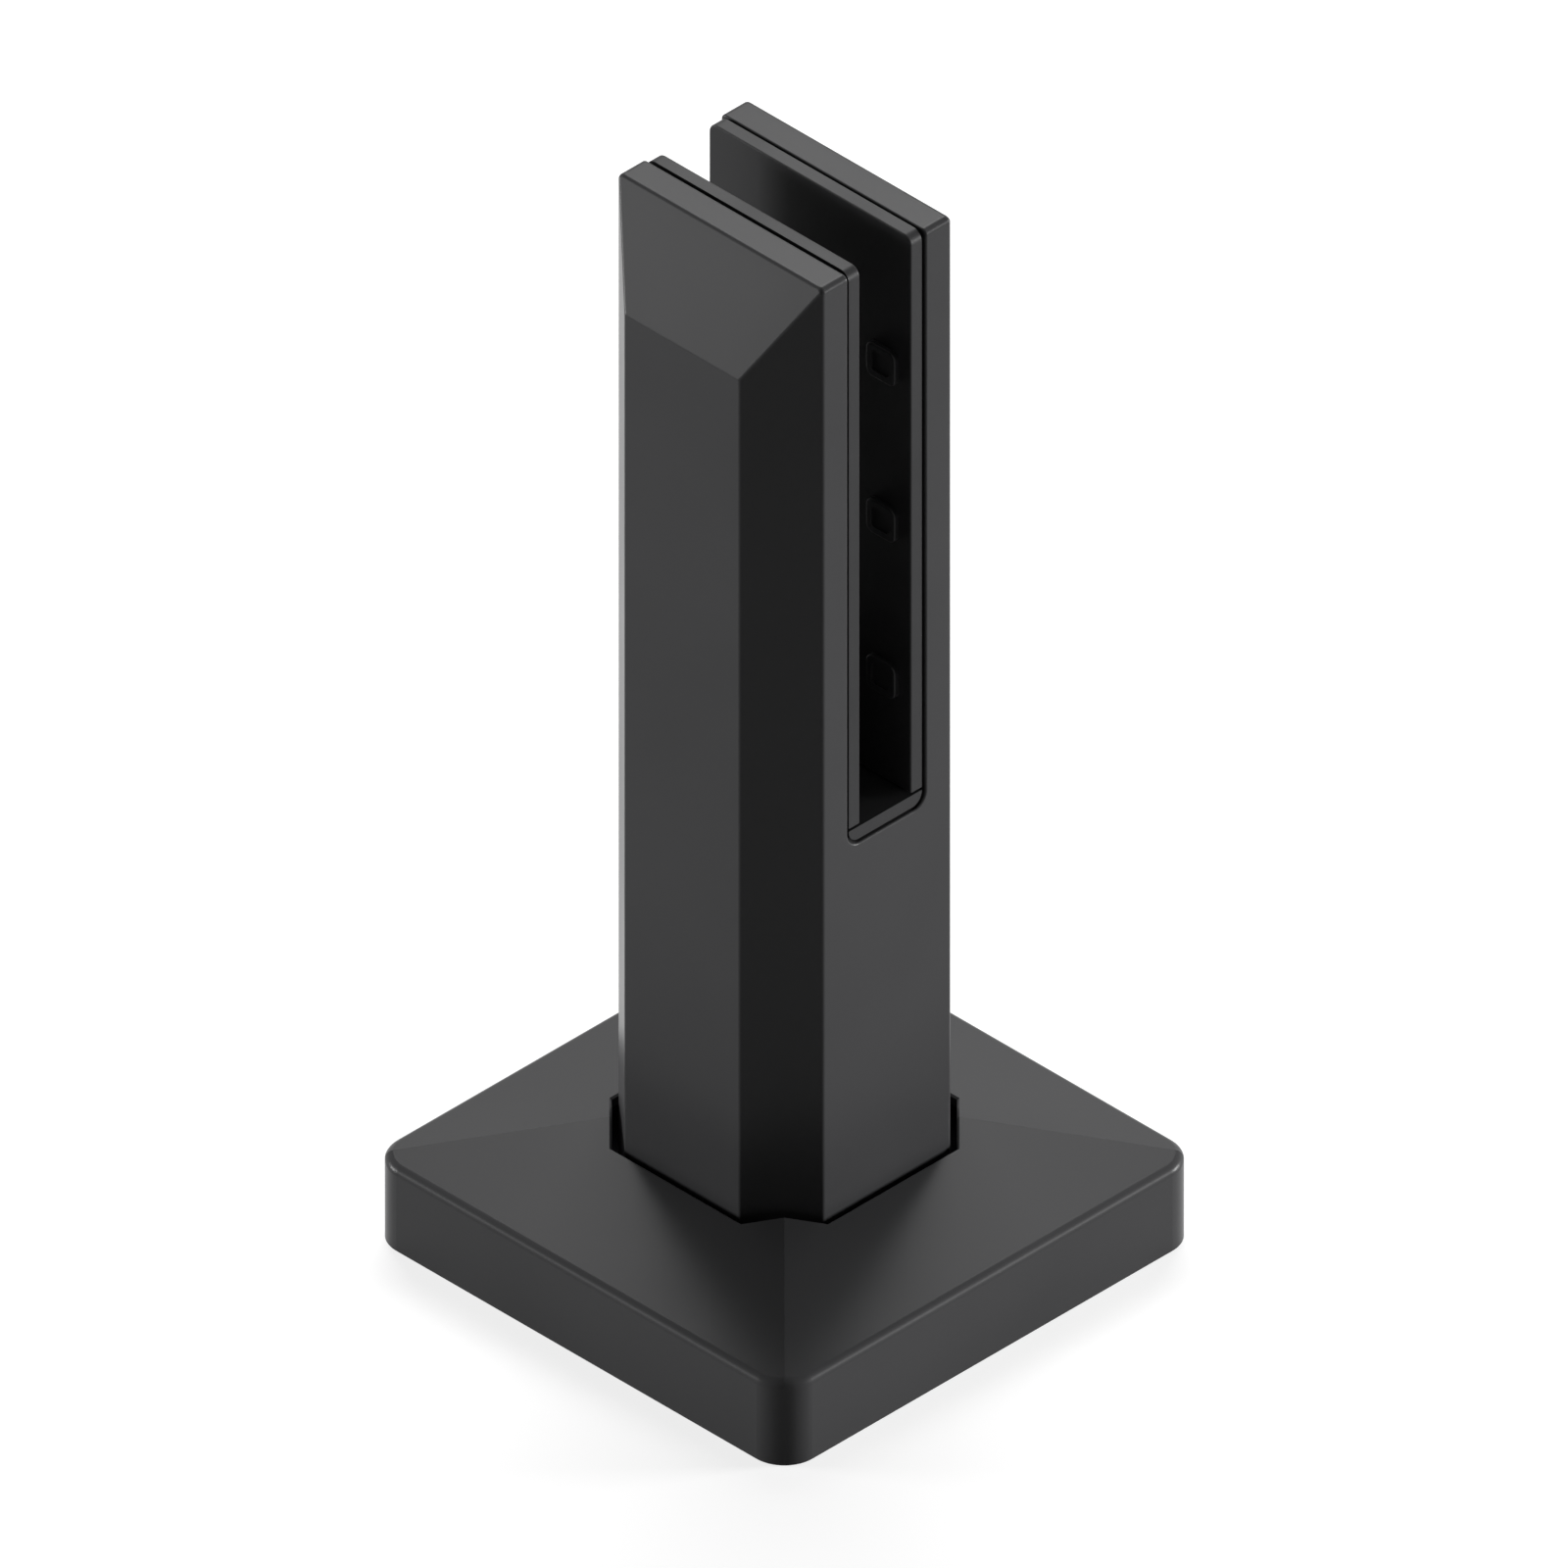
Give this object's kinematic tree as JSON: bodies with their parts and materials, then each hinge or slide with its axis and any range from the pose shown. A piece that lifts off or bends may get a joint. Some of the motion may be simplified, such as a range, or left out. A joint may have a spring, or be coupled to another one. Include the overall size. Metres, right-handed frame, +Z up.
{
  "type": "glass balustrade spigot",
  "caption": "Square glass balustrade spigot: a chamfered post with a lined slot and a screw clamp for the panel, on a base plate under a low hipped cover.",
  "frame": {"origin": "middle of the foot, on the floor", "axes": "+X along the glass panel, +Y through its thickness towards the jaw with the clamp screws, +Z up"},
  "size_m": [0.1014, 0.1014, 0.2196],
  "materials": {
    "black_powder_coat": "satin",
    "black_rubber": "matte",
    "stainless_steel": "satin",
    "zinc_plated_steel": "satin"
  },
  "bodies": {
    "post_body": {"post": "black_powder_coat", "base_plate": "zinc_plated_steel", "base_screws": "zinc_plated_steel", "front_liner": "black_rubber", "setting_block": "black_rubber"},
    "cover_body": {"base_cover": "black_powder_coat"},
    "clamp_body": {"pressure_plate": "stainless_steel", "rear_liner": "black_rubber"},
    "bottom_screw_body": {"clamp_screw_bottom": "stainless_steel"},
    "middle_screw_body": {"clamp_screw_middle": "stainless_steel"},
    "top_screw_body": {"clamp_screw_top": "stainless_steel"}
  },
  "joints": [
    {"name": "cover_lift", "type": "slide", "parent": "post_body", "child": "cover_body", "axis": [0, 0, 1], "range_m": [0, 0.075]},
    {"name": "clamp_travel", "type": "slide", "parent": "post_body", "child": "clamp_body", "axis": [0, -1, 0], "range_m": [0, 0.0012]},
    {"name": "bottom_screw_turn", "type": "hinge", "parent": "clamp_body", "child": "bottom_screw_body", "pos_m": [0, 0.024, 0.1243], "axis": [0, -1, 0], "range_deg": [0, 346]},
    {"name": "middle_screw_turn", "type": "hinge", "parent": "clamp_body", "child": "middle_screw_body", "pos_m": [0, 0.024, 0.1573], "axis": [0, -1, 0], "range_deg": [0, 346]},
    {"name": "top_screw_turn", "type": "hinge", "parent": "clamp_body", "child": "top_screw_body", "pos_m": [0, 0.024, 0.1903], "axis": [0, -1, 0], "range_deg": [0, 346]}
  ],
  "couplings": [
    {"joint": "bottom_screw_turn", "follows": "clamp_travel", "rad_per_m": 5026.5},
    {"joint": "middle_screw_turn", "follows": "clamp_travel", "rad_per_m": 5026.5},
    {"joint": "top_screw_turn", "follows": "clamp_travel", "rad_per_m": 5026.5}
  ]
}
